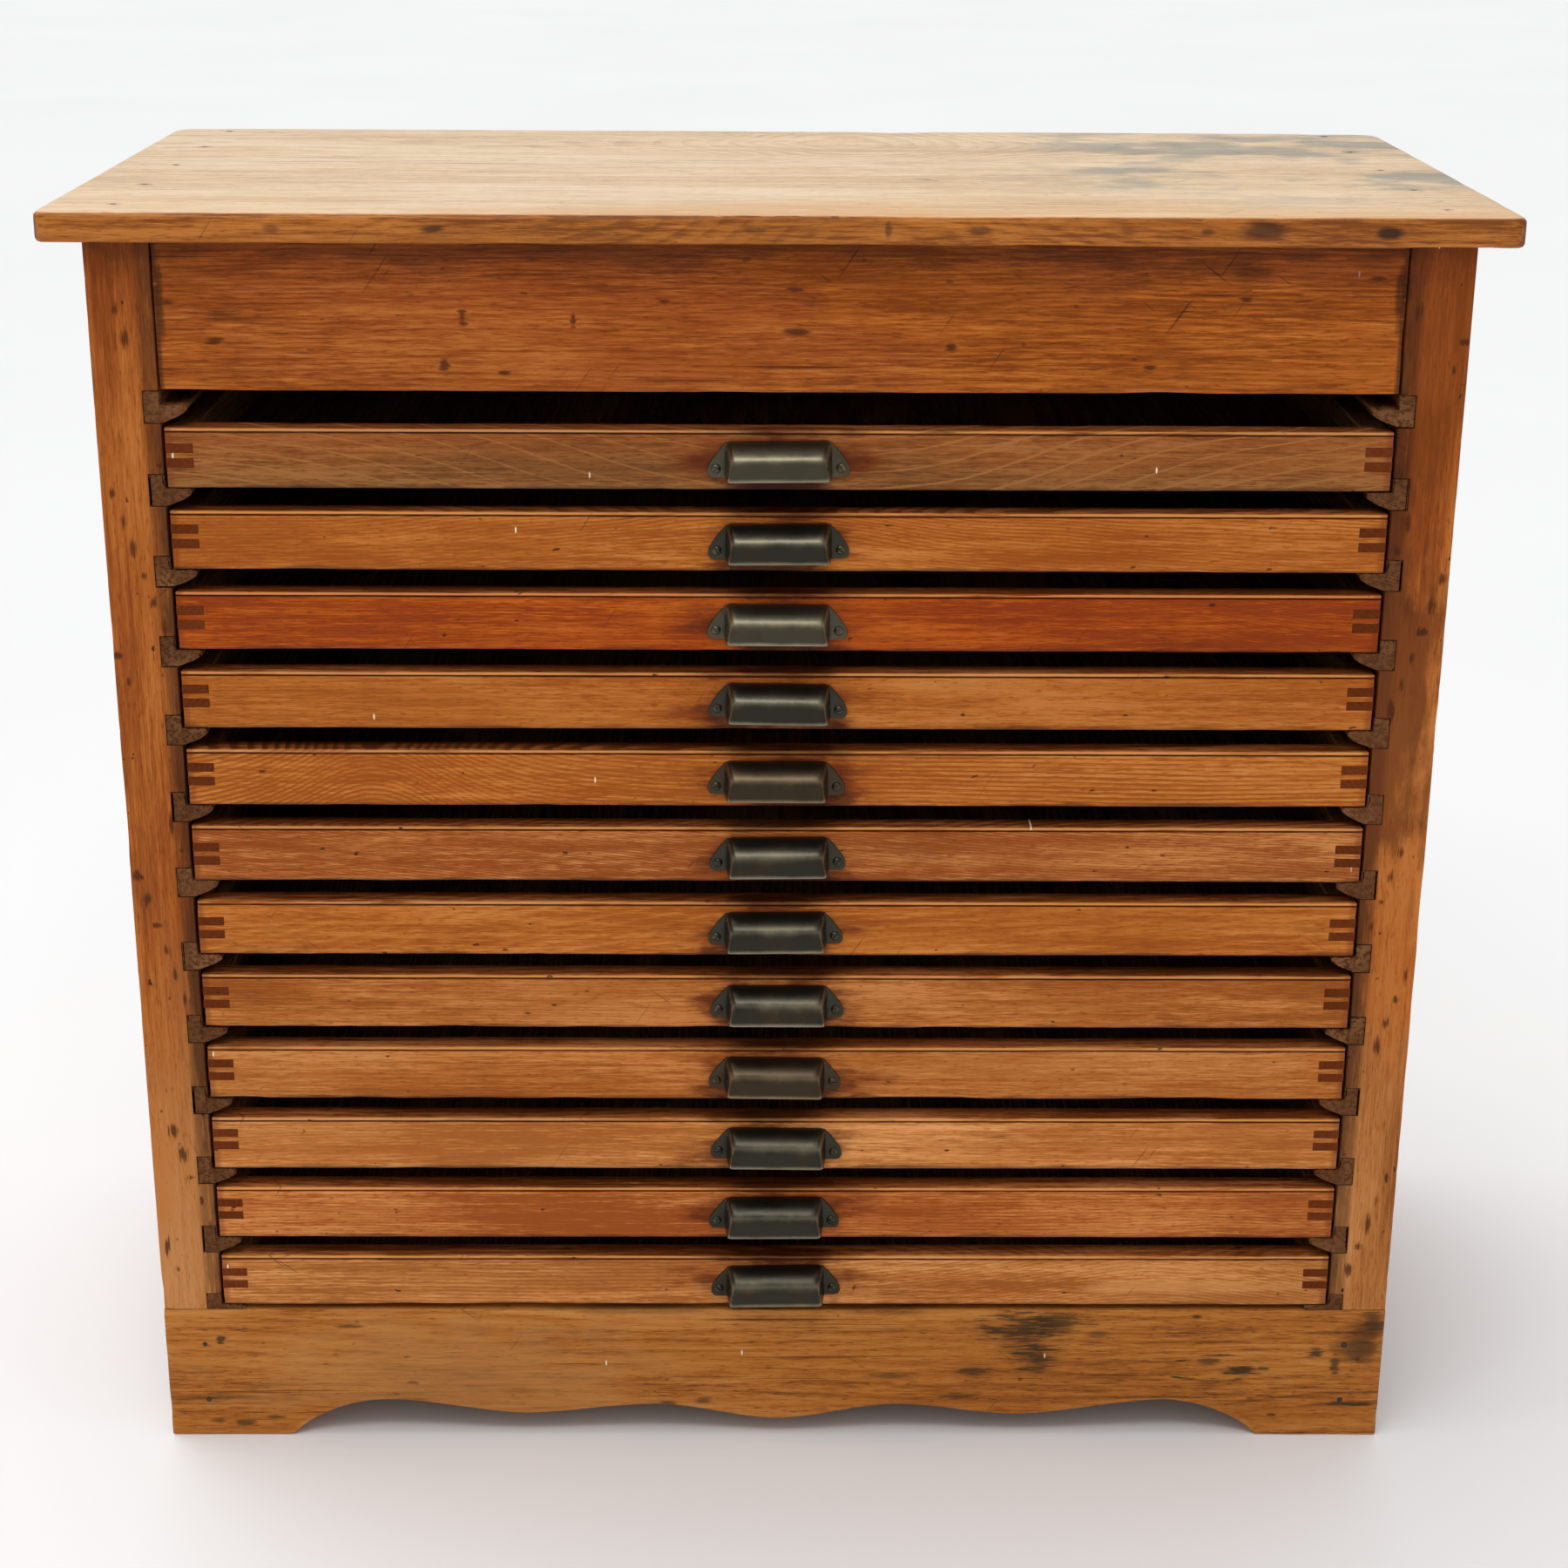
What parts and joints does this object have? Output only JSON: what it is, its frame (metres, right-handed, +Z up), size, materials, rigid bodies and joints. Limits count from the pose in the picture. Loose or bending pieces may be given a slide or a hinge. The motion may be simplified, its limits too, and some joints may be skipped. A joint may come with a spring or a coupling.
{
  "type": "flat file cabinet",
  "caption": "Low wooden chest of shallow pull-out trays on side runners, with cup pulls, a scalloped plinth and an overhanging flat top.",
  "frame": {"origin": "on the floor, under the middle of the top board's outline", "axes": "+X to the right as seen by someone facing the drawers, +Y towards the back, +Z up; the drawers open towards -Y"},
  "size_m": [1.058, 0.53, 1.008],
  "materials": {
    "top_wood": "worn, bleached",
    "dark_pine": "old wax, dark",
    "golden_pine": "old wax, satin",
    "red_pine": "old wax, satin",
    "raw_pine": "bare, aged",
    "pull_bronze": "worn dark patina",
    "nail_iron": "rusted"
  },
  "bodies": {
    "case": {"top_board": "top_wood", "frieze_board": "dark_pine", "plinth_board": "golden_pine", "front_left_post": "red_pine", "front_right_post": "red_pine", "back_left_post": "red_pine", "back_right_post": "red_pine", "left_side_top_rail": "red_pine", "right_side_top_rail": "red_pine", "left_side_bottom_rail": "red_pine", "right_side_bottom_rail": "red_pine", "left_side_panel": "red_pine", "right_side_panel": "red_pine", "back_top_rail": "raw_pine", "back_bottom_rail": "raw_pine", "back_boards": "raw_pine", "bottom_board": "raw_pine", "bottom_cleats": "raw_pine", "left_runners": "dark_pine", "right_runners": "dark_pine", "drawer_stops": "raw_pine", "top_nails": "nail_iron", "plinth_nails": "nail_iron", "back_nails": "nail_iron"},
    "drawer_01": {"drawer_01_front": "golden_pine", "drawer_01_tray": "raw_pine", "drawer_01_pull": "pull_bronze"},
    "drawer_02": {"drawer_02_front": "golden_pine", "drawer_02_tray": "raw_pine", "drawer_02_pull": "pull_bronze"},
    "drawer_03": {"drawer_03_front": "golden_pine", "drawer_03_tray": "raw_pine", "drawer_03_pull": "pull_bronze"},
    "drawer_04": {"drawer_04_front": "golden_pine", "drawer_04_tray": "raw_pine", "drawer_04_pull": "pull_bronze"},
    "drawer_05": {"drawer_05_front": "golden_pine", "drawer_05_tray": "raw_pine", "drawer_05_pull": "pull_bronze"},
    "drawer_06": {"drawer_06_front": "golden_pine", "drawer_06_tray": "raw_pine", "drawer_06_pull": "pull_bronze"},
    "drawer_07": {"drawer_07_front": "golden_pine", "drawer_07_tray": "raw_pine", "drawer_07_pull": "pull_bronze"},
    "drawer_08": {"drawer_08_front": "golden_pine", "drawer_08_tray": "raw_pine", "drawer_08_pull": "pull_bronze"},
    "drawer_09": {"drawer_09_front": "golden_pine", "drawer_09_tray": "raw_pine", "drawer_09_pull": "pull_bronze"},
    "drawer_10": {"drawer_10_front": "golden_pine", "drawer_10_tray": "raw_pine", "drawer_10_pull": "pull_bronze"},
    "drawer_11": {"drawer_11_front": "golden_pine", "drawer_11_tray": "raw_pine", "drawer_11_pull": "pull_bronze"},
    "drawer_12": {"drawer_12_front": "golden_pine", "drawer_12_tray": "raw_pine", "drawer_12_pull": "pull_bronze"}
  },
  "joints": [
    {"name": "drawer_01_slide", "type": "slide", "parent": "case", "child": "drawer_01", "axis": [0, -1, 0], "range_m": [0, 0.4]},
    {"name": "drawer_02_slide", "type": "slide", "parent": "case", "child": "drawer_02", "axis": [0, -1, 0], "range_m": [0, 0.4]},
    {"name": "drawer_03_slide", "type": "slide", "parent": "case", "child": "drawer_03", "axis": [0, -1, 0], "range_m": [0, 0.4]},
    {"name": "drawer_04_slide", "type": "slide", "parent": "case", "child": "drawer_04", "axis": [0, -1, 0], "range_m": [0, 0.4]},
    {"name": "drawer_05_slide", "type": "slide", "parent": "case", "child": "drawer_05", "axis": [0, -1, 0], "range_m": [0, 0.4]},
    {"name": "drawer_06_slide", "type": "slide", "parent": "case", "child": "drawer_06", "axis": [0, -1, 0], "range_m": [0, 0.4]},
    {"name": "drawer_07_slide", "type": "slide", "parent": "case", "child": "drawer_07", "axis": [0, -1, 0], "range_m": [0, 0.4]},
    {"name": "drawer_08_slide", "type": "slide", "parent": "case", "child": "drawer_08", "axis": [0, -1, 0], "range_m": [0, 0.4]},
    {"name": "drawer_09_slide", "type": "slide", "parent": "case", "child": "drawer_09", "axis": [0, -1, 0], "range_m": [0, 0.4]},
    {"name": "drawer_10_slide", "type": "slide", "parent": "case", "child": "drawer_10", "axis": [0, -1, 0], "range_m": [0, 0.4]},
    {"name": "drawer_11_slide", "type": "slide", "parent": "case", "child": "drawer_11", "axis": [0, -1, 0], "range_m": [0, 0.4]},
    {"name": "drawer_12_slide", "type": "slide", "parent": "case", "child": "drawer_12", "axis": [0, -1, 0], "range_m": [0, 0.4]}
  ]
}
